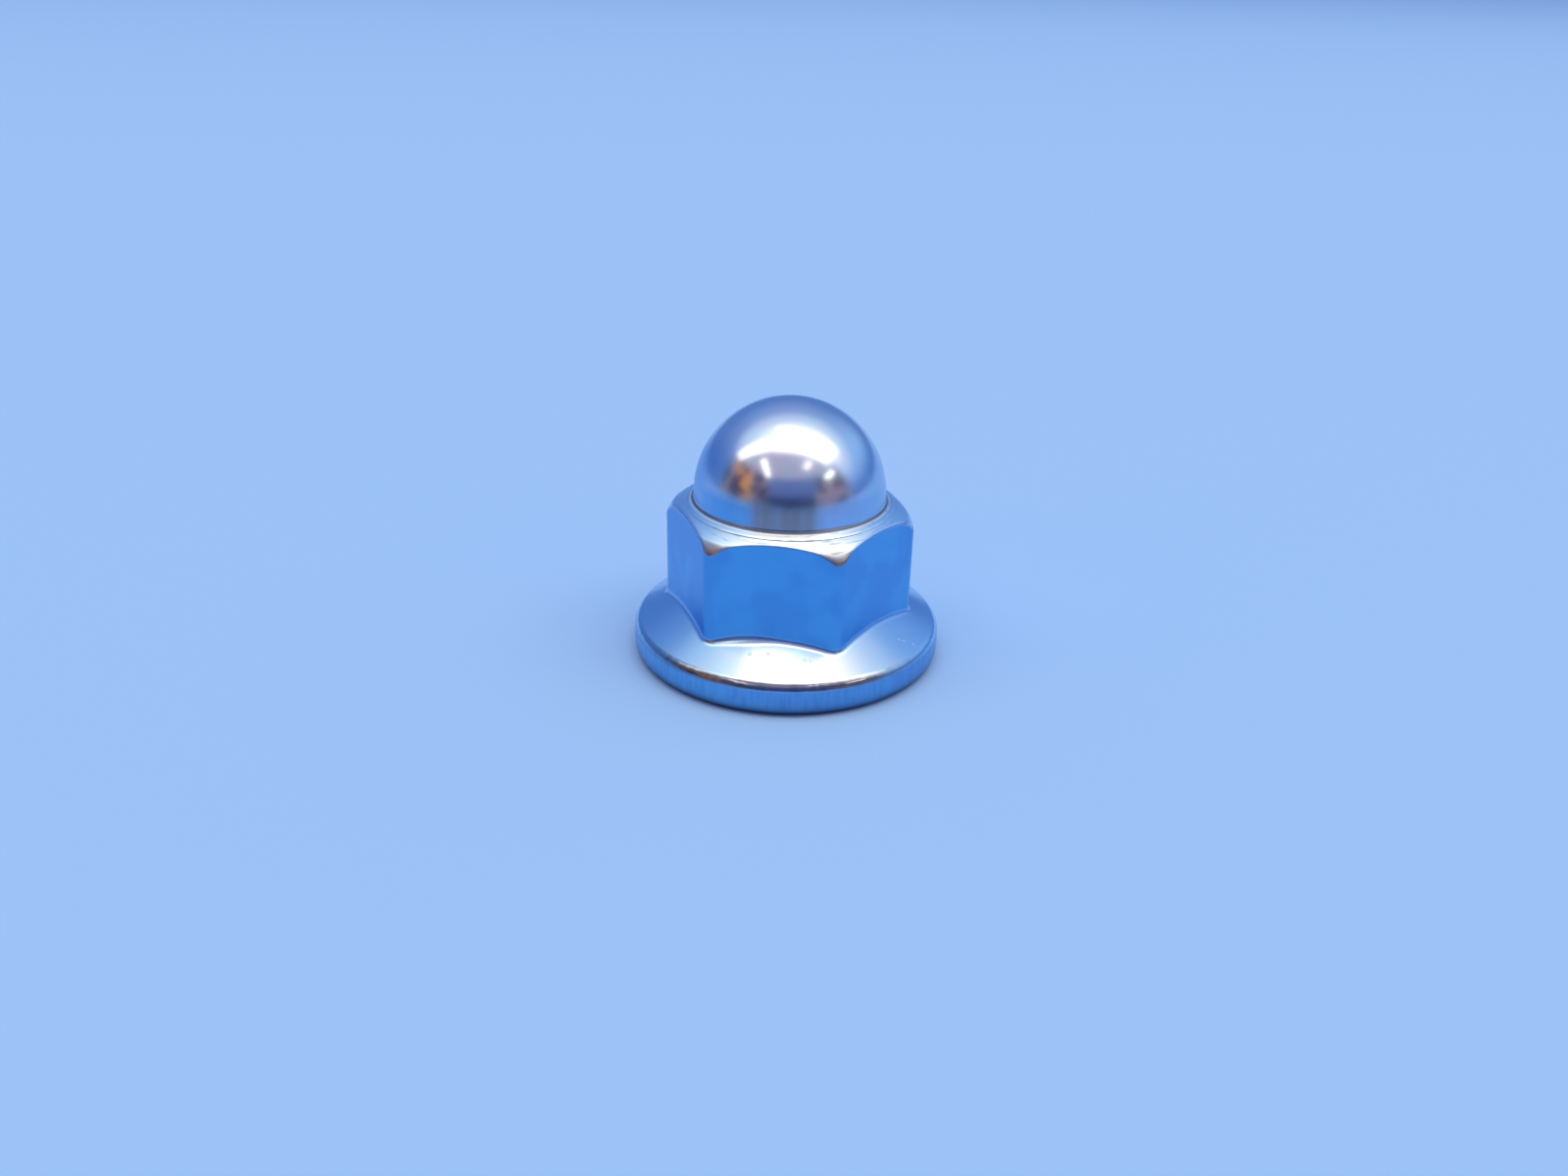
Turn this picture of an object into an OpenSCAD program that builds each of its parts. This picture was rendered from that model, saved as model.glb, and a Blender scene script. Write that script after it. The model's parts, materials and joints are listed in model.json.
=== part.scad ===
// Flanged cap nut, cold-formed in one piece from a steel slug.
// A dome closes the threaded hole, a chamfered hexagon takes the wrench,
// and a conical flange spreads the load on the seat.
// The origin is the middle of the seat, and the dome points up.

/* [Hexagon] */
// Distance across the flats
across_flats = 12; // [11.8:0.1:12.4]
// Rounding along the six upright corners
corner_round = 0.8; // [0.5:0.1:1]
// Height at which the chamfer meets the middle of each flat
flat_top_z = 8.5; // [8.3:0.1:8.7]
// Slope of the chamfer round the top of the hexagon, in degrees
chamfer_slope = 29; // [26:1:31]
// Distance from the axis at which the corners start to fall away more steeply
crease_r = 6.4; // [6.3:0.05:6.5]
// Slope of the corners just outside that crease, in degrees
corner_slope = 50; // [46:1:54]
// Radius of the curve that the corners then follow, seen in section
corner_curve = 3; // [2.6:0.1:3.6]

/* [Dome] */
// Height from the seat to the top of the dome
overall_h = 14.4; // [14.2:0.1:14.9]
// Diameter of the dome
dome_d = 10.4; // [10.2:0.1:10.5]
// Fillet round the foot of the dome
dome_fillet = 0.3; // [0.2:0.05:0.3]
// Diameter of the turned collar at the foot of the dome
collar_d = 11.4; // [11.3:0.1:11.6]
// Height of the step at the edge of the collar
collar_step = 0.06; // [0.04:0.01:0.08]
// Slope of the collar's upper face, in degrees
collar_slope = 20; // [16:1:22]

/* [Flange] */
// Diameter of the flange
flange_d = 17; // [16.5:0.1:18]
// Slope of the flange's cone, in degrees
flange_slope = 28; // [24:1:30]
// Height at which the rim starts to round over into the cone
rim_h = 1.45; // [1.2:0.05:1.6]
// Rounding at the upper edge of the rim
rim_round = 0.6; // [0.4:0.05:0.7]
// Rounding at the edge of the seat
seat_round = 0.65; // [0.4:0.05:0.8]
// Fillet where the hexagon runs into the flange
foot_fillet = 0.4; // [0.3:0.05:0.5]

/* [Threaded hole] */
// Diameter of the hole inside the M8 thread
bore_d = 6.7; // [6.65:0.05:6.9]
// Height at which the straight wall of the hole ends
bore_top_z = 10.3; // [9:0.1:10.7]
// Angle of the drill point that closes the hole, in degrees
drill_angle = 118; // [90:1:130]
// Diameter of the countersunk mouth of the hole
mouth_d = 8.6; // [8.2:0.1:9]

/* [Hidden] */
$fn = 96;

zinc_plate = [0.78, 0.83, 0.9];
sides = 6;
turn = 360 / sides;
overlap = 0.3;

apothem = across_flats / 2;
corner_pivot_r = (apothem - corner_round) / cos(turn / 2);
half_flat = (apothem - corner_round) * tan(turn / 2);

dome_r = dome_d / 2;
dome_z = overall_h - dome_r;
collar_r = collar_d / 2;
flange_r = flange_d / 2;
bore_r = bore_d / 2;
mouth_r = mouth_d / 2;

// Centres of the roundings in half section, as [distance from the axis, height]
rim_centre = [flange_r - rim_round, rim_h];
rim_tangent = rim_centre + polar(rim_round, 90 - flange_slope);
seat_centre = [flange_r - seat_round, seat_round];
corner_centre = [crease_r, chamfer_z(crease_r)] - polar(corner_curve, 90 - corner_slope);
dome_fillet_centre = [
    dome_r + dome_fillet,
    collar_z(dome_r + dome_fillet) + dome_fillet / cos(collar_slope)
];

// The foot fillet is swept round the hexagon in steps. Its arc is set into the metal by
// a hair and runs on past both ends, so that it crosses the two faces it blends.
corner_steps = 6;
flat_steps = 10;
arc_steps = 8;
fillet_bite = 0.005;
fillet_overrun = 20;

function polar(radius, angle) = radius * [cos(angle), sin(angle)];
function chamfer_z(r) = flat_top_z + (apothem - r) * tan(chamfer_slope);
function collar_z(r) = chamfer_z(collar_r) + collar_step + (collar_r - r) * tan(collar_slope);
function flange_z(r) = rim_tangent[1] + (rim_tangent[0] - r) * tan(flange_slope);
function corner_pivot(k) = polar(corner_pivot_r, turn * k);

// The hexagon's outline once round, as [point, direction the face looks in] pairs
function corner_stations(k) = [
    for (i = [0:corner_steps])
        let (facing = turn * (k - 0.5 + i / corner_steps))
            [corner_pivot(k) + polar(corner_round, facing), facing]
];
function flat_stations(k) = [
    for (i = [1:flat_steps - 1])
        let (facing = turn * (k + 0.5), along = half_flat * (2 * i / flat_steps - 1))
            [polar(apothem, facing) + polar(along, facing + 90), facing]
];
function hexagon_stations() = [
    for (k = [0:sides - 1])
        each concat(corner_stations(k), flat_stations(k))
];

// Section of the foot fillet at a station, square to the face there: the concave arc
// from the upright face down to the cone, closed by points that lie inside the metal.
// The cone looks less steep where the face isn't square to the line from the axis.
function fillet_section(point, facing) =
    let (
        reach = point + polar(foot_fillet, facing),
        lean = atan(tan(flange_slope) * (reach * polar(1, facing)) / norm(reach)),
        centre = [foot_fillet, flange_z(norm(reach)) + foot_fillet / cos(lean)],
        first = 180 - fillet_overrun,
        last = 270 - lean + fillet_overrun,
        arc = [
            for (i = [0:arc_steps])
                centre + polar(foot_fillet + fillet_bite, first + (last - first) * i / arc_steps)
        ],
        floor_z = arc[arc_steps][1] - overlap
    )
    concat(arc, [[arc[arc_steps][0], floor_z], [-overlap, floor_z], [-overlap, arc[0][1]]]);

module foot_fillet() {
    stations = hexagon_stations();
    rings = len(stations);
    loop = arc_steps + 4;
    points = [
        for (station = stations, p = fillet_section(station[0], station[1]))
            let (place = station[0] + polar(p[0], station[1]))
                [place[0], place[1], p[1]]
    ];
    faces = [
        for (i = [0:rings - 1], j = [0:loop - 1])
            let (
                a = i * loop + j,
                b = i * loop + (j + 1) % loop,
                c = ((i + 1) % rings) * loop + (j + 1) % loop,
                d = ((i + 1) % rings) * loop + j
            )
            each [[a, b, c], [a, c, d]]
    ];
    polyhedron(points, faces);
}

module flange() {
    rotate_extrude() {
        polygon([
            [0, 0],
            [seat_centre[0], 0],
            seat_centre,
            [flange_r, seat_centre[1]],
            [flange_r, rim_h],
            rim_centre,
            rim_tangent,
            [0, flange_z(0)]
        ]);
        translate(seat_centre)
            circle(r = seat_round);
        translate(rim_centre)
            circle(r = rim_round);
    }
}

module hexagon_outline() {
    polygon([
        for (k = [0:sides - 1], side = [-0.5, 0.5])
            corner_pivot(k) + polar(corner_round, turn * (k + side))
    ]);
    for (k = [0:sides - 1])
        translate(corner_pivot(k))
            circle(r = corner_round);
}

// Half section of the turned form that trims the top of the hexagon: a cone as far as
// the crease, and outside it the curve that the corners follow
module trim_section() {
    intersection() {
        polygon([[0, 0], [flange_r, 0], [flange_r, chamfer_z(flange_r)], [0, chamfer_z(0)]]);
        union() {
            square([(collar_r + crease_r) / 2, overall_h]);
            square([corner_centre[0] + corner_curve, corner_centre[1]]);
            translate(corner_centre)
                circle(r = corner_curve);
        }
    }
}

module hexagon() {
    intersection() {
        linear_extrude(overall_h)
            hexagon_outline();
        rotate_extrude()
            trim_section();
    }
}

module dome() {
    translate([0, 0, dome_z])
        sphere(r = dome_r);
    rotate_extrude() {
        square([dome_r, dome_z]);
        polygon([
            [0, dome_z - dome_r],
            [collar_r, dome_z - dome_r],
            [collar_r, collar_z(collar_r)],
            [0, collar_z(0)]
        ]);
        difference() {
            polygon([
                [dome_r - overlap, dome_fillet_centre[1]],
                dome_fillet_centre,
                dome_fillet_centre - polar(dome_fillet, 90 - collar_slope),
                [dome_r - overlap, collar_z(dome_r)]
            ]);
            translate(dome_fillet_centre)
                circle(r = dome_fillet);
        }
    }
}

module threaded_hole() {
    translate([0, 0, -overlap])
        cylinder(r = bore_r, h = bore_top_z + overlap);
    translate([0, 0, bore_top_z])
        cylinder(r1 = bore_r, r2 = 0, h = bore_r / tan(drill_angle / 2));
    translate([0, 0, -overlap])
        cylinder(r1 = mouth_r + overlap, r2 = 0, h = mouth_r + overlap);
}

module cap_nut() {
    color(zinc_plate)
        difference() {
            union() {
                flange();
                foot_fillet();
                hexagon();
                dome();
            }
            threaded_hole();
        }
}

cap_nut();
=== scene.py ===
"""A flanged cap nut, M8, cold-formed in one piece from a steel slug and bright zinc plated."""

import json
import math

import bmesh
import bpy
import numpy as np
from mathutils import Matrix, Vector


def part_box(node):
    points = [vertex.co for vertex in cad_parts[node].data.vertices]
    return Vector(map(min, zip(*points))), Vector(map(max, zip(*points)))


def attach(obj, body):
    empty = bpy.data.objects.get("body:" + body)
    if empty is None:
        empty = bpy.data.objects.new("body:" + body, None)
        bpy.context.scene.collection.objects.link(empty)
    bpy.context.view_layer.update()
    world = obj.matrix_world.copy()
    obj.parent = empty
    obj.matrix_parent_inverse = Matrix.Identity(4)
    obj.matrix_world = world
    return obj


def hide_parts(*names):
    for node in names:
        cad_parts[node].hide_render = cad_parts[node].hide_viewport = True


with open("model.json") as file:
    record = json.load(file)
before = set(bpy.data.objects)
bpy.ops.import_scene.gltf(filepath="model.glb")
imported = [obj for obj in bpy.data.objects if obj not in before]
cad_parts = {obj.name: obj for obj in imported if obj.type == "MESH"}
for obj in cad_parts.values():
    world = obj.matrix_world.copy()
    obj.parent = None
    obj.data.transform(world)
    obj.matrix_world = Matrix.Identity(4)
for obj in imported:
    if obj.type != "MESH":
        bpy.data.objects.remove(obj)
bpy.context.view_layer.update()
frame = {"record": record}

# ---------------------------------------------------------------- sizes, in millimetres
MM = 0.001
MICROMETRE = 0.001 * MM
part_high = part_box("cap_nut")[1]
hole = next(mount for mount in frame["record"]["mounts"] if mount["kind"] == "threaded_hole")

# Hexagon: its chamfer is a cone as far as the crease, and the corners then fall away
sides = 6
across_flats = 12
corner_round = 0.8
flat_top_z = 8.5
chamfer_slope = 29
crease_r = 6.4
corner_slope = 50
corner_curve = 3

# Dome and the turned collar at its foot
overall_h = part_high[2] / MM
dome_r = 5.2
dome_fillet = 0.3
collar_r = 5.7
collar_step = 0.06
collar_slope = 20

# Flange. As the die has left it, the fillet at the hexagon's foot is fuller in one place.
flange_r = part_high[0] / MM
flange_slope = 28
rim_h = 1.45
rim_round = 0.6
seat_round = 0.65
foot_fillet = 0.4
full_fillet = 0.7

# Blind hole with its right-hand M8 x 1.25 thread. Root and crest are parts of the pitch.
bore_r = hole["dims"]["r_mm"]
bore_top_z = 10.3
drill_angle = 118
mouth_r = 4.3
pitch = 1.25
thread_turns = 7.5
thread_h = pitch * thread_turns
thread_root_r = 4.03
thread_root = 1 / 8
thread_crest = 1 / 4
thread_run_out = 1.1

# Fine form: the chamfer and the collar have a slight crown, whose height is this number
# times the distances to the face's two edges, and the plating rounds every edge
chamfer_crown = 0.16
collar_crown = 0.3
edge_round = 0.07
worn_edge_round = 0.16
crease_round = 0.02
step_round = 0.025

# The step at the collar's edge: how far out in units of its rounding, and how far down
step_section = ((0.75, 0.12), (1, 0.4), (1, 0.75), (1.3, 1))

# Room left for rows inside the edge of a flat, where that comes before the crease
inner_gap = 0.05
outer_gap = 0.02

# Zones round the nut: direction of the middle and reach to either side in degrees, how
# flat the top is, from 1 up, and strength. One flat faces forward, at -90.
zones = {
    "full foot": (-103, 20, 1, 1),
    "ragged foot": (-62, 11, 1, 1),
    "crisp edge": (-85, 75, 1.5, 1),
    # Painted highlight: the front, where the painted blue side reflection is left off
    "painted highlight front": (-77, 68, 1.25, 0.8),
    # The dome's flanks and skirt carry the satin faces' painted blue reflection
    "left flank": (-165, 55, 1, 0.8),
    "right flank": (-10, 50, 1, 0.35),
    "painted blue skirt": (-120, 50, 1, 0.4),
    # Painted grey reflection of a dark shape in front, on the dome's skirt
    "front reflection skirt": (-85, 26, 2.5, 1),
    # Painted dark reflection of the room on the two front corner tips
    "left tip": (-120, 14, 1, 0.45),
    "right tip": (-60, 15, 1, 0.8),
    # Painted dark reflection of the room along the rim's rolled edge
    "grimy rim": (-92, 85, 1.5, 0.7),
    "thin rim reflection": (-82, 50, 1, 1),
}

# Where a finish or a painted reflection sets in, and how far on it is at its full strength:
# on the skirt and the flanks as parts of the way down the dome, and at the right tip of the
# way out to its edge
skirt_rise = (0.8, 0.1)
flank_rise = (0.5, 0.2)
tip_rise = (0.25, 0.6)

# Strength of each finish, painted reflection and painted shade on each surface, from 0 to 1.
# The upright faces are fully satin, with their painted blue reflection.
# Painted blue reflection on the sides of the bright faces
side_blue_reflection = 0.85
skirt_satin_and_blue = 0.5
skirt_marks = 0.3
# Painted grey reflection of a dark shape on the skirt
skirt_front_reflection = 0.95
edge_turned = 0.4
rim_satin_and_blue = 0.9
seat_satin_and_blue = 0.4
hole_satin_and_blue = 0.6
thread_satin_and_blue = 0.5
# Painted shade in the dome's fillet, down the collar step, on the rim and over the seat's
# rounding
fillet_shade = 0.8
step_shade = 0.15
rim_shade = 0.2
seat_shade = 0.9

# Ripples round the nut: seed, waves a turn, and height, which is a strength for the painted
# grey reflection of a dark shape on the skirt
ripples = {
    "edge": (3, range(40, 150, 7), 0.028),
    "reflected_shape": (5, range(16, 70, 6), 0.22),
    "foot": (7, range(60, 150, 11), 0.04),
    "rim": (11, range(30, 140, 9), 0.02),
}

# Nicks on the flange: how ragged and how strong they are, how much of each is fully bare,
# and for each its distance from the axis, its direction in degrees, and its size
nick_ragged = 0.2
nick_strength = 0.75
nick_core = 0.3
nicks = (
    (6.85, -98.5, 0.16),
    (6.7, -90.5, 0.18),
    (7.0, -74.5, 0.22),
    (7.05, -72, 0.15),
    (7.9, -84.5, 0.12),
    (7.85, -97, 0.13),
    (7.3, -26.5, 0.12),
    (7.5, -25, 0.14),
    (7.9, -22.5, 0.1),
    (6.9, 41, 0.15),
    (7.6, 128, 0.18),
    (7.2, 171, 0.13),
)

# Columns once round the nut, and rows along each surface
corner_columns = 12
flat_columns = 36
columns = sides * (corner_columns + flat_columns)
dome_rows = 44
fillet_rows = 9
collar_rows = 3
chamfer_rows = 7
tip_rows = 6
edge_rows = 5
face_rows = 22
cone_rows = 18
rim_rows = 6
seat_rows = 6
drill_rows = 4
thread_rows_per_turn = 16

# Points closer than this become one, and edges sharper than this stay crisp, in degrees
merge_gap = 0.0005
sharp_angle = 35

# ---------------------------------------------------------------- looks of the plate
# Sizes of its patterns, in millimetres. A real nut has turning rings 0.05 mm apart, die
# marks of 0.08 mm and a grain of 0.03 mm. Those are too fine to show, so they are drawn
# as coarse as they need to be.
drift_size = 3
patch_size = 1.2
ring_size = 0.14
mark_size = 0.18
grain_size = 0.12
nick_edge_size = 0.15
wave_size = 2.5

# How fast rings and marks change along their length, compared with across it
along_rings = 0.1
along_marks = 0.12

# How far the patterns stand up from the face, in micrometres
wave_relief = 8
grain_relief = 1.2
ring_relief = 2.5
mark_relief = 2.8
nick_relief = -2

# Roughness of the bright faces and of the satin ones, and what other finishes and the faces
# with painted shade add to it
bright_haze = 0.13
satin_haze = 0.26
patch_haze = 0.1
turned_haze = 0.18
soiled_haze = 0.3
nick_haze = 0.2

# Colours. A pair is the two ends of a pattern, and for nicks the front and the sides, where
# the white is a painted glint.
bright_colours = ("#D4DDEC", "#D8DAEE")
patch_colour = "#BEE4F0"
ring_colours = ("#FAFBFD", "#A9B9CC")
# Painted blue reflection of the surroundings, on the sides of the bright faces
painted_side_blue_colour = "#A2D0F2"
# Satin faces: their deep blue is a painted reflection of blue surroundings
painted_blue_satin_colours = ("#60AEE6", "#5CA3DF")
mark_colour = "#2C5FA8"
nick_and_glint_colours = ("#B8B8C0", "#FFFFFF")
# Painted grey reflection of a dark shape in front, on the dome's skirt
front_reflection_colour = "#97949A"
# Painted dark reflection of the room, on the rim's rolled edge and two corner tips
dark_reflection_colour = "#5E5862"
# Painted shade, for the dome's fillet, the collar step, the rim's foot and the seat's rounding
painted_shade_colour = "#1E2C52"

# ---------------------------------------------------------------- plain studio
# A pale floor, and a dim room round it, in linear light
floor_colour = "#A2C6F4"
floor_half_m = 8.0
room_back_low = (0.12, 0.25, 0.60, 1)
room_back_high = (0.33, 0.49, 0.81, 1)
room_front_low = (0.035, 0.05, 0.14, 1)
room_front_mid = (0.13, 0.20, 0.46, 1)
room_front_high = (0.50, 0.48, 0.62, 1)
room_warm = (0.80, 0.33, 0.12, 1)
room_haze = (0.34, 0.27, 0.34, 1)
room_shade = (0.07, 0.06, 0.13, 1)
room_right = (0.38, 0.61, 1.00, 1)
room_glow = (0.72, 0.86, 1.06, 1)
room_bright = (1.28, 1.34, 1.24, 1)
room_middle = 0.15
glow_middle = (0.15, -0.02, 1)
glow_shape = (0.5, 1.35, 1)
room_mottle = 3.5

# White panels in the ceiling: middle and size in units of its height, and radiance
panel_h_m = 2.5
panel_colour = (1, 0.90, 0.68)
panels = {
    "long_panel": (-0.25, -0.24, 2.40, 0.34, 1.4),
    "wide_panel": (0.40, -0.12, 1.34, 0.66, 1.0),
    "left_window": (-0.58, -0.98, 0.17, 0.76, 2.2),
    "middle_window": (0.52, -0.70, 0.20, 0.32, 1.4),
    "right_window": (1.47, -0.74, 0.30, 0.46, 3.4),
}

# Camera: focal length, the point it aims at and how far off it stands, in millimetres,
# and how far it is to the right of the front, above it, and leaning, in degrees
camera_lens = 30.375
camera_aim = (-0.175, -0.023, 3.411)
camera_distance = 74.09
camera_right = 7.343
camera_above = 25.174
camera_lean = 1.5515

# ---------------------------------------------------------------- form of the nut
side_turn = 360 / sides
apothem = across_flats / 2
corner_pivot_r = (apothem - corner_round) / math.cos(math.radians(side_turn / 2))
half_flat = (apothem - corner_round) * math.tan(math.radians(side_turn / 2))
dome_z = overall_h - dome_r


def slope_of(degrees):
    """How far a slope rises for each millimetre along."""
    return math.tan(math.radians(degrees))


def polar(radius, degrees):
    """Points at a distance from the origin, in the given directions."""
    angle = np.radians(degrees)
    return np.stack([radius * np.cos(angle), radius * np.sin(angle)], axis=-1)


# Centres of the roundings in half section, as distance from the axis and height
rim_centre = np.array([flange_r - rim_round, rim_h])
rim_tangent = rim_centre + polar(rim_round, 90 - flange_slope)
seat_centre = np.array([flange_r - seat_round, seat_round])


def chamfer_z(r):
    """Height of the chamfer at a distance from the axis."""
    crown = chamfer_crown * np.maximum(0, (r - collar_r) * (crease_r - r))
    return flat_top_z + (apothem - r) * slope_of(chamfer_slope) + crown


def collar_z(r):
    """Height of the collar's upper face at a distance from the axis."""
    crown = collar_crown * (r - dome_r) * (collar_r - r)
    return chamfer_z(collar_r) + collar_step + (collar_r - r) * slope_of(collar_slope) + crown


def flange_z(r):
    """Height of the flange's cone at a distance from the axis."""
    return rim_tangent[1] + (rim_tangent[0] - r) * slope_of(flange_slope)


corner_centre = np.array([crease_r, chamfer_z(crease_r)]) - polar(corner_curve, 90 - corner_slope)


def trim_z(r):
    """Height of the turned form that trims the top of the hexagon."""
    beyond = np.sqrt(np.maximum(corner_curve**2 - (r - corner_centre[0]) ** 2, 0))
    return np.where(r <= crease_r, chamfer_z(r), corner_centre[1] + beyond)


# ---------------------------------------------------------------- the nut, row by row
# Every row runs once round the nut with the same number of points, from the corner on
# the X axis. The rows start at the top of the dome and go down over the outside, under
# the seat and up to the thread.
even_turn = (np.arange(columns) - corner_columns / 2) * 360 / columns


def hexagon_stations():
    """Points once round the hexagon, and the direction that the face looks in at each."""
    points, facings = [], []
    for k in range(sides):
        for i in range(corner_columns + 1):
            facing = side_turn * (k - 0.5 + i / corner_columns)
            points.append(polar(corner_pivot_r, side_turn * k) + polar(corner_round, facing))
            facings.append(facing)
        for i in range(1, flat_columns):
            facing = side_turn * (k + 0.5)
            along = half_flat * (2 * i / flat_columns - 1)
            points.append(polar(apothem, facing) + polar(along, facing + 90))
            facings.append(facing)
    return np.array(points), np.array(facings)


def turns_near(xy, turns):
    """Directions of the points in degrees, counted on from those in turns."""
    found = np.degrees(np.arctan2(xy[:, 1], xy[:, 0]))
    return turns + (found - turns + 180) % 360 - 180


def ripple(degrees, name):
    """A smooth irregular wave once round the nut that closes on itself."""
    seed, waves, height = ripples[name]
    rng = np.random.default_rng(seed)
    angle = np.radians(degrees)
    total = np.zeros(len(angle))
    for wave in waves:
        total += rng.uniform(0.4, 1) * np.sin(wave * angle + rng.uniform(0, 2 * math.pi))
    return height * total / math.sqrt(len(waves))


def swell(turns, name):
    """A smooth bump over a zone, which is 0 beyond the zone's ends."""
    middle, reach, flatness, strength = zones[name]
    off = (turns - middle + 180) % 360 - 180
    bump = np.cos(np.clip(off / reach, -1, 1) * math.pi / 2) ** 2
    return strength * np.minimum(1, flatness * bump)


def ramp(t, start, length):
    """Rises evenly from 0 at the start to 1 at the end of its length."""
    return min(1, max(0, (t - start) / length))


def steps(count, start=1):
    """Even parts of the way from 0 to 1."""
    return [i / count for i in range(start, count + 1)]


def eased_steps(count):
    """Parts of the way from 0 to 1 that lie close together near both ends."""
    return [(1 - math.cos(math.pi * t)) / 2 for t in steps(count)]


# What a face can have: satin from the die with its painted blue reflection, turning rings,
# upright drawn marks, painted shade, a painted grey reflection of a dark shape in front, a
# painted dark reflection of the room, and painted blue reflection on the sides
FINISHES_AND_PAINTED_LIGHT = ("satin", "turned", "drawn", "soiled", "dulled", "grimy", "tinted")

# Painted blue reflection of the surroundings on the sides of the nut, left off the front so
# that the front stays white as a painted highlight
painted_side_strength = side_blue_reflection - swell(even_turn, "painted highlight front")


class Skin:
    """The rows of points, and how much of each finish and painted light they have, 0 to 1."""

    def __init__(self):
        self.points = []
        self.finish = []
        self.faces = []

    def add(self, xy, z, joined=True, **finish):
        """Adds a row, joined by faces to the one before it."""
        if joined and self.points:
            here = len(self.points) * columns + np.arange(columns)
            ahead = np.roll(here, -1)
            self.faces.append(np.column_stack([here - columns, here, ahead, ahead - columns]))
        self.points.append(np.column_stack([xy, np.broadcast_to(z, (columns,))]))
        values = [np.broadcast_to(finish.get(name, 0), (columns,)) for name in FINISHES_AND_PAINTED_LIGHT]
        self.finish.append(np.column_stack(values))

    def add_round(self, r, z, degrees=even_turn, **finish):
        """Adds a row given by its distance from the axis and its directions."""
        self.add(polar(np.broadcast_to(r, (columns,)), degrees), z, **finish)

    def make_mesh(self, name):
        """Makes the mesh, with each finish and painted light as an attribute of its points."""
        mesh = bpy.data.meshes.new(name)
        mesh.from_pydata(np.vstack(self.points) * MM, [], np.vstack(self.faces).tolist())
        values = np.vstack(self.finish).astype(np.float32)
        for attribute, column in zip(FINISHES_AND_PAINTED_LIGHT, values.T):
            layer = mesh.attributes.new(attribute, "FLOAT", "POINT")
            layer.data.foreach_set("value", np.ascontiguousarray(column))
        return mesh


def add_dome(skin):
    """The dome, whose low skirt is satin from the die with painted blue reflection and a painted
    grey reflection of a dark shape, and the fillet at its foot with painted shade.
    """
    flanks = swell(even_turn, "left flank") + swell(even_turn, "right flank")
    painted_blue = np.maximum(skirt_satin_and_blue + swell(even_turn, "painted blue skirt"), flanks)
    reflected_shape = swell(even_turn, "front reflection skirt")
    reflected_shape = np.clip(reflected_shape * (skirt_front_reflection + ripple(even_turn, "reflected_shape")), 0, 1)
    # The skirt carries painted blue reflection and, toward the front, a painted grey reflection
    # of a dark shape
    for t in steps(dome_rows, start=0):
        r, z = polar(dome_r, 90 - 90 * t)
        low = ramp(t, *skirt_rise)
        satin = np.maximum(painted_blue * low, flanks * ramp(t, *flank_rise))
        skin.add_round(
            r, dome_z + z, satin=satin, drawn=skirt_marks * low, dulled=reflected_shape * low
        )
    # Painted shade darkens the fillet
    centre_r = dome_r + dome_fillet
    centre_z = collar_z(centre_r) + dome_fillet / math.cos(math.radians(collar_slope))
    for t in steps(fillet_rows, start=0):
        out, up = polar(dome_fillet, 180 + (90 - collar_slope) * t)
        soiled = fillet_shade * max(0, math.sin(math.pi * (1.5 * t - 0.4)))
        skin.add_round(
            centre_r + out, centre_z + up, satin=painted_blue * (1 - t),
            drawn=skirt_marks * (1 - t), turned=t, soiled=soiled, dulled=reflected_shape * (1 - t),
        )


def add_collar(skin):
    """The turned collar's upper face, and the small step at its edge."""
    fillet_r = dome_r + dome_fillet - dome_fillet * math.sin(math.radians(collar_slope))
    step_r = collar_r - step_round
    # The collar and its step carry painted blue side reflection, and the step painted shade
    for t in steps(collar_rows):
        r = fillet_r + (step_r - fillet_r) * t
        skin.add_round(r, collar_z(r), turned=1, tinted=painted_side_strength)
    top_z = collar_z(collar_r)
    foot_z = chamfer_z(collar_r)
    for out, drop in step_section:
        r = step_r + step_round * out
        z = top_z + (foot_z - top_z) * drop
        skin.add_round(r, z, turned=1, tinted=painted_side_strength, soiled=step_shade * drop)


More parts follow.
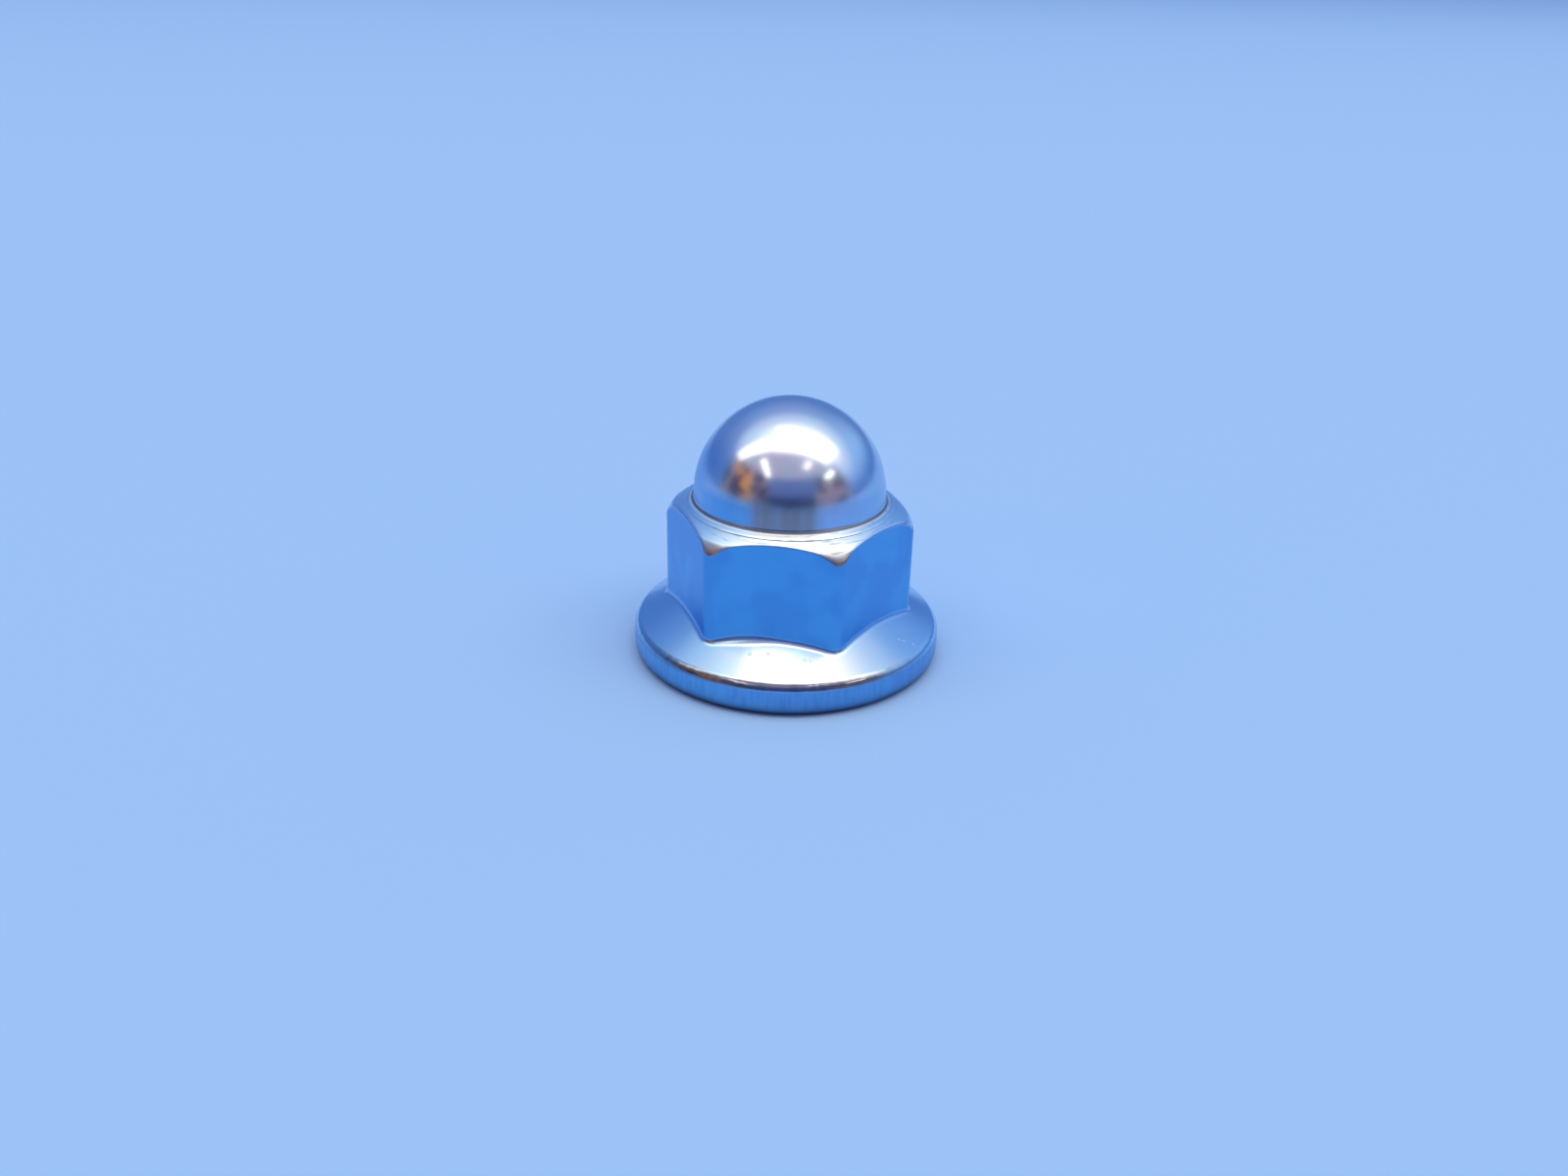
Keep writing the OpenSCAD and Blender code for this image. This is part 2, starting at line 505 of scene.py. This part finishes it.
def add_hexagon(skin):
    """Chamfer, rounded edge, upright faces and foot fillet. Gives the fillet's last row."""
    stations, facings = hexagon_stations()
    station_r = np.hypot(*stations.T)
    station_turn = turns_near(stations, even_turn)

    # Chamfer as far as the crease, or the edge of the flat where that comes first. The
    # edge wanders a little, as the turning tool left it.
    wander = ripple(station_turn, "edge")
    worn = 1 - swell(station_turn, "crisp edge")
    rounding = edge_round + (worn_edge_round - edge_round) * worn
    rounding = rounding + 0.5 * np.abs(wander) + np.maximum(0, wander)
    edge_r = station_r - rounding
    inner_r = np.minimum(crease_r - crease_round, edge_r - inner_gap)
    outer_r = np.minimum(crease_r + crease_round, edge_r - outer_gap)
    # The chamfer carries painted blue side reflection
    for t in steps(chamfer_rows):
        r = collar_r + (inner_r - collar_r) * t
        turn = even_turn + (station_turn - even_turn) * t
        skin.add_round(r, chamfer_z(r), turn, turned=1, tinted=painted_side_strength)
    # The tips of the two front corners carry painted dark reflection of the room: the left one
    # all over, and the right one along the crease and at its end
    left_tip = swell(station_turn, "left tip")
    right_tip = swell(station_turn, "right tip")
    for t in steps(tip_rows, start=0):
        r = outer_r + (edge_r - outer_r) * t
        at_ends = max(1 - tip_rows * t, ramp(t, *tip_rise))
        skin.add_round(
            r, trim_z(r), station_turn, turned=1 - (1 - edge_turned) * t,
            tinted=painted_side_strength, grimy=left_tip + right_tip * at_ends,
        )

    # Rounded edge, on to the upright face, where the satin face's painted blue reflection comes
    # in and the tips' painted dark reflection fades out
    upright_z = trim_z(station_r) - rounding
    for t in steps(edge_rows):
        before, between, after = (1 - t) ** 2, 2 * t * (1 - t), t**2
        r = before * edge_r + (between + after) * station_r
        z = before * trim_z(edge_r) + between * trim_z(station_r) + after * upright_z
        skin.add_round(
            r, z, station_turn, satin=t, turned=edge_turned * (1 - t),
            grimy=(left_tip + right_tip) * (1 - t),
        )

    # Upright faces, and the fillet where they run into the cone of the flange. On the
    # front flat it is fuller at the left end and ragged at the right one.
    outward = polar(1.0, facings)
    fullness = swell(station_turn, "full foot")
    ragged = ripple(station_turn, "foot") * swell(station_turn, "ragged foot")
    fillet = foot_fillet + (full_fillet - foot_fillet) * fullness + ragged
    reach = stations + fillet[:, None] * outward
    reach_r = np.hypot(*reach.T)
    lean = np.arctan(slope_of(flange_slope) * (reach * outward).sum(axis=1) / reach_r)
    fillet_z = flange_z(reach_r) + fillet / np.cos(lean)
    # The upright faces carry the satin faces' painted blue reflection, which gives way across the
    # fillet to the painted blue side reflection
    for t in eased_steps(face_rows):
        skin.add(stations, upright_z + (fillet_z - upright_z) * t, satin=1)
    for t in steps(fillet_rows):
        angle = math.pi + (math.pi / 2 - lean) * t
        foot = stations + (fillet * (1 + np.cos(angle)))[:, None] * outward
        skin.add(foot, fillet_z + fillet * np.sin(angle), satin=1 - t, tinted=painted_side_strength * t)
    return foot


def add_flange(skin, foot):
    """The cone from the foot fillet outward, the rim and the seat."""
    foot_r = np.hypot(*foot.T)
    foot_turn = turns_near(foot, even_turn)
    # The cone carries painted blue side reflection
    for t in eased_steps(cone_rows):
        r = foot_r + (rim_tangent[0] - foot_r) * t
        turn = foot_turn + (even_turn - foot_turn) * t
        skin.add_round(r, flange_z(r), turn, tinted=painted_side_strength)
    # The rolled edge wavers a little, always inward. Painted dark reflection of the room lies
    # along the middle of it at the front and over its whole width toward the sides, and is
    # strongest where the edge wavers most.
    waver = np.abs(ripple(even_turn, "rim"))
    rim_reflection = swell(even_turn, "grimy rim") * np.clip(0.8 + 12 * waver, 0, 1)
    widened = 0.9 * (1 - swell(even_turn, "thin rim reflection"))
    for t in steps(fillet_rows):
        r, z = rim_centre + polar(rim_round, (90 - flange_slope) * (1 - t))
        late = ramp(t, 0.5, 0.5)
        arch = math.sin(math.pi * t)
        spread = np.clip(2.4 * arch - 0.8 + widened, 0, 1) * (t < 1)
        skin.add_round(
            r - waver * arch, z, drawn=late, satin=rim_satin_and_blue * late, tinted=painted_side_strength,
            grimy=rim_reflection * spread,
        )
    # The rim carries painted blue reflection, and painted shade deepens down the rim and over the
    # seat's rounding toward the floor
    for t in eased_steps(rim_rows):
        z = rim_h + (seat_round - rim_h) * t
        skin.add_round(flange_r, z, drawn=1, satin=rim_satin_and_blue, soiled=rim_shade * t**2)
    for t in steps(seat_rows):
        r, z = seat_centre + polar(seat_round, -90 * t)
        soiled = rim_shade + (seat_shade - rim_shade) * min(1, 1.4 * t)
        skin.add_round(r, z, drawn=1 - t, satin=rim_satin_and_blue, soiled=soiled)
    # The seat carries some painted blue reflection
    for t in eased_steps(seat_rows):
        r = seat_centre[0] + (mouth_r - seat_centre[0]) * t
        skin.add_round(r, 0, satin=seat_satin_and_blue, turned=1)


def add_hole_end(skin):
    """The plain wall above the thread and the drill point that closes the hole."""
    # The hole's wall carries some painted blue reflection
    skin.add_round(bore_r, thread_h, satin=hole_satin_and_blue, joined=False)
    for t in steps(drill_rows, start=0):
        z = bore_top_z + bore_r * t / slope_of(drill_angle / 2)
        skin.add_round(bore_r * (1 - t), z, satin=hole_satin_and_blue)


# ---------------------------------------------------------------- nodes
# A colour Mix node's sockets are reached by number: its factor, its two colours, and what
# comes out. A Mix of plain numbers has its two at other sockets.
FACTOR, UNDER, OVER, MIXED = 0, 6, 7, 2
FIRST_NUMBER, SECOND_NUMBER = 2, 3


def add_node(tree, kind, inputs=None, **settings):
    """Adds one node with its settings. Each input takes a value, or a socket to link."""
    node = tree.nodes.new(kind)
    for name, value in settings.items():
        setattr(node, name, value)
    for name, value in (inputs or {}).items():
        if isinstance(value, bpy.types.NodeSocket):
            tree.links.new(value, node.inputs[name])
        else:
            node.inputs[name].default_value = value
    return node


def colour(code):
    """An sRGB hex value as the linear colour that the nodes use."""
    parts = [int(code[i : i + 2], 16) / 255 for i in (1, 3, 5)]
    linear = [c / 12.92 if c <= 0.04045 else ((c + 0.055) / 1.055) ** 2.4 for c in parts]
    return (*linear, 1)


# ---------------------------------------------------------------- thread
THREAD_SIZES = {
    "Pitch": pitch * MM,
    "Crest radius": bore_r * MM,
    "Root radius": thread_root_r * MM,
    "Mouth radius": mouth_r * MM,
    "Height": thread_h * MM,
    "Run-out": thread_run_out * MM,
}
THREAD_COUNTS = {
    "Columns": columns + 1,
    "Rows": round((thread_turns + 1) * thread_rows_per_turn) + 1,
}


def thread_tree(finish):
    """Closes the nut's skin with the thread wall: a grid wound up the hole, whose rows
    follow the helix, so that crest and root are crisp all the way."""
    tree = bpy.data.node_groups.new("right_hand_thread", "GeometryNodeTree")
    sockets = tree.interface
    sockets.new_socket("Skin", in_out="INPUT", socket_type="NodeSocketGeometry")
    for name in THREAD_SIZES:
        sockets.new_socket(name, in_out="INPUT", socket_type="NodeSocketFloat")
    for name in THREAD_COUNTS:
        sockets.new_socket(name, in_out="INPUT", socket_type="NodeSocketInt")
    sockets.new_socket("Nut", in_out="OUTPUT", socket_type="NodeSocketGeometry")
    given = add_node(tree, "NodeGroupInput").outputs

    grid = add_node(
        tree, "GeometryNodeMeshGrid",
        {
            "Size X": 1.0, "Vertices X": given["Columns"],
            "Size Y": 1.0, "Vertices Y": given["Rows"],
        },
    )
    place = add_node(
        tree, "ShaderNodeSeparateXYZ", {0: add_node(tree, "GeometryNodeInputPosition").outputs[0]}
    )
    round_part = add_node(
        tree, "ShaderNodeMath", {0: place.outputs["X"], 1: 0.5}, operation="ADD"
    ).outputs[0]
    rise_part = add_node(
        tree, "ShaderNodeMath", {0: place.outputs["Y"], 1: 0.5}, operation="ADD"
    ).outputs[0]

    # Height of each point: the grid climbs one pitch a turn, cut level at both ends
    climb_range = add_node(
        tree, "ShaderNodeMath", {0: given["Height"], 1: given["Pitch"]}, operation="ADD"
    )
    climb = add_node(
        tree, "ShaderNodeMath", {0: rise_part, 1: climb_range.outputs[0]}, operation="MULTIPLY"
    ).outputs[0]
    lifted = add_node(
        tree, "ShaderNodeMath", {0: round_part, 1: given["Pitch"], 2: climb},
        operation="MULTIPLY_ADD",
    )
    lowered = add_node(
        tree, "ShaderNodeMath", {0: lifted.outputs[0], 1: given["Pitch"]}, operation="SUBTRACT"
    )
    height = add_node(
        tree, "ShaderNodeClamp", {"Value": lowered.outputs[0], "Max": given["Height"]}
    ).outputs[0]

    # Metric profile: how far along the pitch each point is from the middle of the root
    turns = add_node(tree, "ShaderNodeMath", {0: climb, 1: given["Pitch"]}, operation="DIVIDE")
    phase = add_node(tree, "ShaderNodeMath", {0: turns.outputs[0]}, operation="FRACT")
    from_root = add_node(
        tree, "ShaderNodeMath", {0: phase.outputs[0], 1: 0.5}, operation="SUBTRACT"
    )
    off_root = add_node(tree, "ShaderNodeMath", {0: from_root.outputs[0]}, operation="ABSOLUTE")
    profile = add_node(
        tree, "ShaderNodeMapRange",
        {
            "Value": off_root.outputs[0],
            "From Min": thread_root / 2, "To Min": given["Root radius"],
            "From Max": (1 - thread_crest) / 2, "To Max": given["Crest radius"],
        },
    )

    # The tap runs out before the top of the thread, and a countersink opens the mouth
    run_out_z = add_node(
        tree, "ShaderNodeMath", {0: given["Height"], 1: given["Run-out"]}, operation="SUBTRACT"
    )
    run_out = add_node(
        tree, "ShaderNodeMapRange",
        {"Value": height, "From Min": run_out_z.outputs[0], "From Max": given["Height"]},
        interpolation_type="SMOOTHSTEP",
    )
    faded = add_node(
        tree, "ShaderNodeMix",
        {
            FACTOR: run_out.outputs[0],
            FIRST_NUMBER: profile.outputs[0],
            SECOND_NUMBER: given["Crest radius"],
        },
    )
    countersink = add_node(
        tree, "ShaderNodeMath", {0: given["Mouth radius"], 1: height}, operation="SUBTRACT"
    )
    radius = add_node(
        tree, "ShaderNodeMath", {0: faded.outputs[0], 1: countersink.outputs[0]},
        operation="MAXIMUM",
    ).outputs[0]

    angle = add_node(
        tree, "ShaderNodeMath", {0: round_part, 1: 2 * math.pi}, operation="MULTIPLY"
    )
    across = add_node(tree, "ShaderNodeMath", {0: angle.outputs[0]}, operation="COSINE")
    along = add_node(tree, "ShaderNodeMath", {0: angle.outputs[0]}, operation="SINE")
    x = add_node(tree, "ShaderNodeMath", {0: radius, 1: across.outputs[0]}, operation="MULTIPLY")
    y = add_node(tree, "ShaderNodeMath", {0: radius, 1: along.outputs[0]}, operation="MULTIPLY")
    point = add_node(
        tree, "ShaderNodeCombineXYZ", {"X": x.outputs[0], "Y": y.outputs[0], "Z": height}
    )
    wall = add_node(
        tree, "GeometryNodeSetPosition",
        {"Geometry": grid.outputs["Mesh"], "Position": point.outputs[0]},
    )
    # The thread's wall carries some painted blue reflection
    marked = add_node(
        tree, "GeometryNodeStoreNamedAttribute",
        {"Geometry": wall.outputs[0], "Name": "satin", "Value": thread_satin_and_blue},
        data_type="FLOAT", domain="POINT",
    )

    joined = add_node(tree, "GeometryNodeJoinGeometry", {0: marked.outputs[0]})
    tree.links.new(given["Skin"], joined.inputs[0])
    merged = add_node(
        tree, "GeometryNodeMergeByDistance",
        {"Geometry": joined.outputs[0], "Distance": merge_gap * MM},
    )
    realized = add_node(tree, "GeometryNodeRealizeInstances", {"Geometry": merged.outputs[0]})
    plated = add_node(
        tree, "GeometryNodeSetMaterial", {"Geometry": realized.outputs[0], "Material": finish}
    )
    add_node(tree, "NodeGroupOutput", {"Nut": plated.outputs[0]})
    return tree


def make_nut(finish):
    """The nut as one closed mesh, with its thread cut and its crisp edges marked."""
    skin = Skin()
    add_dome(skin)
    add_collar(skin)
    add_flange(skin, add_hexagon(skin))
    add_hole_end(skin)
    nut = bpy.data.objects.new("nut", skin.make_mesh("nut_skin"))
    bpy.context.collection.objects.link(nut)

    tree = thread_tree(finish)
    modifier = nut.modifiers.new("thread", "NODES")
    modifier.node_group = tree
    sizes = {**THREAD_SIZES, **THREAD_COUNTS}
    for item in tree.interface.items_tree:
        if item.name in sizes:
            modifier[item.identifier] = sizes[item.name]
    evaluated = nut.evaluated_get(bpy.context.evaluated_depsgraph_get())
    mesh = bpy.data.meshes.new_from_object(evaluated)
    nut.modifiers.remove(modifier)
    nut.data = mesh
    mesh.name = "nut"

    shape = bmesh.new()
    shape.from_mesh(mesh)
    bmesh.ops.dissolve_degenerate(shape, dist=merge_gap * MM, edges=shape.edges)
    bmesh.ops.recalc_face_normals(shape, faces=shape.faces)
    shape.to_mesh(mesh)
    shape.free()
    mesh.shade_smooth()
    mesh.set_sharp_from_angle(angle=math.radians(sharp_angle))
    return nut


# ---------------------------------------------------------------- finish
def zinc_plate():
    """Bright zinc electroplate on cold-formed steel, with a clear blue passivate. The
    plate is a mirror with a faint haze and a faint blue, with thin patches of cyan and
    lavender. Its bright faces carry painted blue reflection of the surroundings on the sides,
    left off the front so that the front stays white as a painted highlight. The flats and the
    rim are satin from the die, and their deeper blue is painted reflection of the
    surroundings. The collar, the chamfer and the seat show turning rings, and the dome's skirt
    and the rim show upright marks. The skirt carries a painted grey reflection of a dark shape
    in front, the rim's edge and two corner tips painted dark reflection of the room, and the
    dome's fillet, the collar step, the rim's foot and the seat's rounding painted shade. A few
    nicks lie on the flange, dull grey on the front and with a painted white glint on the sides."""
    material = bpy.data.materials.new("bright_zinc_electroplate")
    material.use_nodes = True
    tree = material.node_tree
    tree.nodes.clear()
    object_place = add_node(tree, "ShaderNodeTexCoord").outputs["Object"]
    place = add_node(
        tree, "ShaderNodeVectorMath", {0: object_place, "Scale": 1 / MM}, operation="SCALE"
    ).outputs[0]
    region = {
        name: add_node(tree, "ShaderNodeAttribute", attribute_name=name).outputs["Fac"]
        for name in FINISHES_AND_PAINTED_LIGHT
    }

    # Turning rings go by the distance from the axis, and are broken along their length
    axis_part = add_node(
        tree, "ShaderNodeVectorMath", {0: place, 1: (1, 1, 0)}, operation="MULTIPLY"
    )
    from_axis = add_node(
        tree, "ShaderNodeVectorMath", {0: axis_part.outputs[0]}, operation="LENGTH"
    )
    across_rings = add_node(tree, "ShaderNodeCombineXYZ", {"Z": from_axis.outputs["Value"]})
    ring_place = add_node(
        tree, "ShaderNodeVectorMath",
        {0: place, 1: (along_rings, along_rings, 0), 2: across_rings.outputs[0]},
        operation="MULTIPLY_ADD",
    ).outputs[0]
    # The die's marks are drawn out upright
    mark_place = add_node(
        tree, "ShaderNodeVectorMath", {0: place, 1: (1, 1, along_marks)}, operation="MULTIPLY"
    ).outputs[0]
    pattern = {}
    for name, where, size, detail, distortion in (
        ("drift", place, drift_size, 2, 0),
        ("patch", place, patch_size, 3, 0.6),
        ("rings", ring_place, ring_size, 2, 0),
        ("marks", mark_place, mark_size, 2, 0),
        ("grain", place, grain_size, 2, 0),
        ("nick_edge", place, nick_edge_size, 1, 0),
        ("waves", place, wave_size, 1, 0),
    ):
        pattern[name] = add_node(
            tree, "ShaderNodeTexNoise",
            {"Vector": where, "Scale": 1 / size, "Detail": detail, "Distortion": distortion},
        ).outputs

    # How far each pattern shows in the colour
    shown = {}
    for name, start, end, most in (
        ("drift", 0.40, 0.60, 1),
        ("patch", 0.48, 0.64, 0.4),
        ("rings", 0.54, 0.70, 1),
        ("marks", 0.40, 0.70, 0.17),
    ):
        shown[name] = add_node(
            tree, "ShaderNodeMapRange",
            {"Value": pattern[name][0], "From Min": start, "From Max": end, "To Max": most},
            interpolation_type="SMOOTHSTEP",
        ).outputs[0]
    drawn = add_node(
        tree, "ShaderNodeMath", {0: shown["marks"], 1: region["drawn"]}, operation="MULTIPLY"
    ).outputs[0]

    # Nicks on the flange. The noise that makes them ragged has a mean of a half, so each
    # nick's middle is shifted by half of it.
    ragged = Vector((nick_ragged, nick_ragged, nick_ragged))
    ragged_place = add_node(
        tree, "ShaderNodeVectorMath",
        {0: pattern["nick_edge"]["Color"], 1: ragged, 2: place}, operation="MULTIPLY_ADD",
    ).outputs[0]
    nicked = None
    for r, degrees, size in nicks:
        middle = Vector((*polar(r, degrees), flange_z(r))) + ragged / 2
        off = add_node(
            tree, "ShaderNodeVectorMath", {0: ragged_place, 1: middle}, operation="DISTANCE"
        )
        nick = add_node(
            tree, "ShaderNodeMapRange",
            {
                "Value": off.outputs["Value"],
                "From Min": size, "From Max": nick_core * size, "To Max": nick_strength,
            },
            interpolation_type="SMOOTHSTEP",
        ).outputs[0]
        if nicked:
            nick = add_node(
                tree, "ShaderNodeMath", {0: nick, 1: nicked}, operation="MAXIMUM"
            ).outputs[0]
        nicked = nick

    # Colours that go from one to another with a pattern. Nicks show dull grey on the front,
    # and a painted white glint on the sides, as far as the painted blue side reflection goes.
    tone = {}
    for name, (first, second), part in (
        ("bright", bright_colours, shown["drift"]),
        ("ringed", ring_colours, shown["rings"]),
        ("satin", painted_blue_satin_colours, shown["drift"]),
        ("bare_and_glint", nick_and_glint_colours, region["tinted"]),
    ):
        tone[name] = add_node(
            tree, "ShaderNodeMix", {FACTOR: part, UNDER: colour(first), OVER: colour(second)},
            data_type="RGBA",
        ).outputs[MIXED]

    # Each layer covers the ones before it, the painted reflections and the painted shade
    # among them
    plate = tone["bright"]
    for layer, part in (
        (colour(patch_colour), shown["patch"]),
        (tone["ringed"], region["turned"]),
        (colour(painted_side_blue_colour), region["tinted"]),
        (tone["satin"], region["satin"]),
        (colour(mark_colour), drawn),
        (tone["bare_and_glint"], nicked),
        (colour(front_reflection_colour), region["dulled"]),
        (colour(dark_reflection_colour), region["grimy"]),
        (colour(painted_shade_colour), region["soiled"]),
    ):
        plate = add_node(
            tree, "ShaderNodeMix", {FACTOR: part, UNDER: plate, OVER: layer}, data_type="RGBA"
        ).outputs[MIXED]

    # Relief, in micrometres
    height = add_node(
        tree, "ShaderNodeMath", {0: pattern["waves"][0], 1: wave_relief}, operation="MULTIPLY"
    ).outputs[0]
    for relief, part, depth in (
        (pattern["grain"][0], region["satin"], grain_relief),
        (pattern["rings"][0], region["turned"], ring_relief),
        (pattern["marks"][0], region["drawn"], mark_relief),
        (nicked, nicked, nick_relief),
    ):
        there = add_node(tree, "ShaderNodeMath", {0: relief, 1: part}, operation="MULTIPLY")
        height = add_node(
            tree, "ShaderNodeMath", {0: there.outputs[0], 1: depth, 2: height},
            operation="MULTIPLY_ADD",
        ).outputs[0]
    normal = add_node(
        tree, "ShaderNodeBump", {"Distance": MICROMETRE, "Height": height}
    ).outputs[0]

    # Haze: the bright faces are nearly mirrors, and every other finish scatters more, as do
    # the faces with painted shade
    roughness = add_node(
        tree, "ShaderNodeMapRange",
        {"Value": region["satin"], "To Min": bright_haze, "To Max": satin_haze},
    ).outputs[0]
    for part, haze in (
        (pattern["patch"][0], patch_haze),
        (region["turned"], turned_haze),
        (region["soiled"], soiled_haze),
        (nicked, nick_haze),
    ):
        roughness = add_node(
            tree, "ShaderNodeMath", {0: part, 1: haze, 2: roughness}, operation="MULTIPLY_ADD"
        ).outputs[0]
    shader = add_node(
        tree, "ShaderNodeBsdfPrincipled",
        {"Base Color": plate, "Metallic": 1.0, "Roughness": roughness, "Normal": normal},
    )
    add_node(tree, "ShaderNodeOutputMaterial", {"Surface": shader.outputs[0]})
    return material


# ---------------------------------------------------------------- studio
def add_floor():
    """A sheet of plain pale blue paper, matt and without a pattern."""
    mesh = bpy.data.meshes.new("floor")
    half = floor_half_m
    mesh.from_pydata(
        [(-half, -half, 0), (half, -half, 0), (half, half, 0), (-half, half, 0)],
        [], [(0, 1, 2, 3)],
    )
    floor = bpy.data.objects.new("floor", mesh)
    bpy.context.collection.objects.link(floor)
    material = bpy.data.materials.new("pale_blue_paper")
    material.use_nodes = True
    tree = material.node_tree
    tree.nodes.clear()
    shader = add_node(tree, "ShaderNodeBsdfDiffuse", {"Color": colour(floor_colour)})
    add_node(tree, "ShaderNodeOutputMaterial", {"Surface": shader.outputs[0]})
    mesh.materials.append(material)
    return floor


def add_panels():
    """White panels overhead that face straight down, each evenly bright. The panels are
    far larger than the nut, so their height only sets how far the floor is lit."""
    for name, (x, y, width, depth, radiance) in panels.items():
        light = bpy.data.lights.new(name, "AREA")
        light.shape = "RECTANGLE"
        light.size = width * panel_h_m
        light.size_y = depth * panel_h_m
        light.color = panel_colour
        light.energy = radiance * math.pi * light.size * light.size_y
        panel = bpy.data.objects.new(name, light)
        panel.location = (x * panel_h_m, y * panel_h_m, panel_h_m)
        bpy.context.collection.objects.link(panel)


def light_room():
    """A dim room: cool behind the nut, and slate with warm sides in front of it."""
    world = bpy.data.worlds.new("studio")
    bpy.context.scene.world = world
    world.use_nodes = True
    tree = world.node_tree
    tree.nodes.clear()
    direction = add_node(tree, "ShaderNodeTexCoord").outputs["Generated"]
    parts = add_node(tree, "ShaderNodeSeparateXYZ", {0: direction}).outputs
    middle = add_node(
        tree, "ShaderNodeMath", {0: parts["X"], 1: room_middle}, operation="SUBTRACT"
    )
    sideways = add_node(tree, "ShaderNodeMath", {0: middle.outputs[0]}, operation="ABSOLUTE")
    # The glow lies over and behind the panels, and is wide from side to side
    narrowed = add_node(
        tree, "ShaderNodeVectorMath", {0: direction, 1: glow_shape}, operation="MULTIPLY"
    )
    even = add_node(
        tree, "ShaderNodeVectorMath", {0: narrowed.outputs[0]}, operation="NORMALIZE"
    )
    toward_glow = add_node(
        tree, "ShaderNodeVectorMath",
        {0: even.outputs[0], 1: Vector(glow_middle).normalized()}, operation="DOT_PRODUCT",
    )
    mottle = add_node(
        tree, "ShaderNodeTexNoise",
        {"Vector": direction, "Scale": room_mottle, "Detail": 2.5},
    )

    # How far each part of the room reaches: 0 at the first number and 1 at the second
    reach = {}
    for name, source, start, end in (
        ("back_high", parts["Z"], 0.25, 0.95),
        ("front", parts["Y"], 0.05, -0.25),
        ("front_mid", parts["Z"], 0.05, 0.42),
        ("front_high", parts["Z"], 0.50, 0.64),
        ("aside", sideways.outputs[0], 0.38, 0.54),
        ("below_high", parts["Z"], 0.66, 0.48),
        ("behind", parts["Y"], -0.38, -0.05),
        ("glow", toward_glow.outputs["Value"], 0.62, 0.88),
        ("bright", toward_glow.outputs["Value"], 0.85, 0.97),
        ("rightward", parts["X"], 0.15, 0.75),
        ("raised", parts["Z"], 0.05, 0.40),
        ("haze", mottle.outputs[0], 0.40, 0.56),
        ("warm", mottle.outputs[0], 0.34, 0.50),
        ("warm_from", parts["X"], -0.90, -0.80),
        ("warm_to", parts["X"], -0.58, -0.70),
    ):
        reach[name] = add_node(
            tree, "ShaderNodeMapRange", {"Value": source, "From Min": start, "From Max": end},
            interpolation_type="SMOOTHSTEP",
        ).outputs[0]
    for name, first, second in (
        ("right", "rightward", "raised"),
        ("side", "aside", "below_high"),
        ("warm_band", "warm_from", "warm_to"),
        ("warm_left", "warm", "warm_band"),
        ("glow_behind", "glow", "behind"),
        ("bright_behind", "bright", "behind"),
    ):
        reach[name] = add_node(
            tree, "ShaderNodeMath", {0: reach[first], 1: reach[second]}, operation="MULTIPLY"
        ).outputs[0]
    # The camera sees a backdrop as pale as the floor, while the metal shows the room
    path = add_node(tree, "ShaderNodeLightPath").outputs
    reach["seen"] = add_node(
        tree, "ShaderNodeMath",
        {0: path["Is Camera Ray"], 1: path["Is Transmission Ray"]}, operation="MAXIMUM",
    ).outputs[0]

    # Each line lays the second colour over the first as far as that part reaches. A name
    # stands for what an earlier line made.
    made = {}
    for name, under, over, part in (
        ("back", room_back_low, room_back_high, "back_high"),
        ("back", "back", room_right, "right"),
        ("side", room_shade, room_haze, "haze"),
        ("side", "side", room_warm, "warm_left"),
        ("front", room_front_low, room_front_mid, "front_mid"),
        ("front", "front", room_front_high, "front_high"),
        ("front", "front", "side", "side"),
        ("room", "back", "front", "front"),
        ("room", "room", room_glow, "glow_behind"),
        ("room", "room", room_bright, "bright_behind"),
        ("room", "room", colour(floor_colour), "seen"),
    ):
        made[name] = add_node(
            tree, "ShaderNodeMix",
            {FACTOR: reach[part], UNDER: made.get(under, under), OVER: made.get(over, over)},
            data_type="RGBA",
        ).outputs[MIXED]
    background = add_node(tree, "ShaderNodeBackground", {"Color": made["room"]})
    add_node(tree, "ShaderNodeOutputWorld", {"Surface": background.outputs[0]})


def add_camera():
    """The camera looks down on the nut from just right of the flat that faces -Y."""
    lens = bpy.data.cameras.new("camera")
    lens.lens = camera_lens
    lens.clip_start = 0.001
    lens.clip_end = 50
    turned = Matrix.Rotation(math.radians(camera_right), 4, "Z")
    tipped = Matrix.Rotation(math.radians(90 - camera_above), 4, "X")
    leaning = Matrix.Rotation(math.radians(camera_lean), 4, "Z")
    view = turned @ tipped @ leaning
    back = view @ Vector((0, 0, camera_distance * MM))
    camera = bpy.data.objects.new("camera", lens)
    camera.matrix_world = Matrix.Translation(Vector(camera_aim) * MM + back) @ view
    bpy.context.collection.objects.link(camera)
    bpy.context.scene.camera = camera


add_camera()
nut = make_nut(zinc_plate())
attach(nut, "root")
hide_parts("cap_nut")
add_floor()

add_panels()
light_room()
bpy.context.scene.view_settings.view_transform = "Standard"
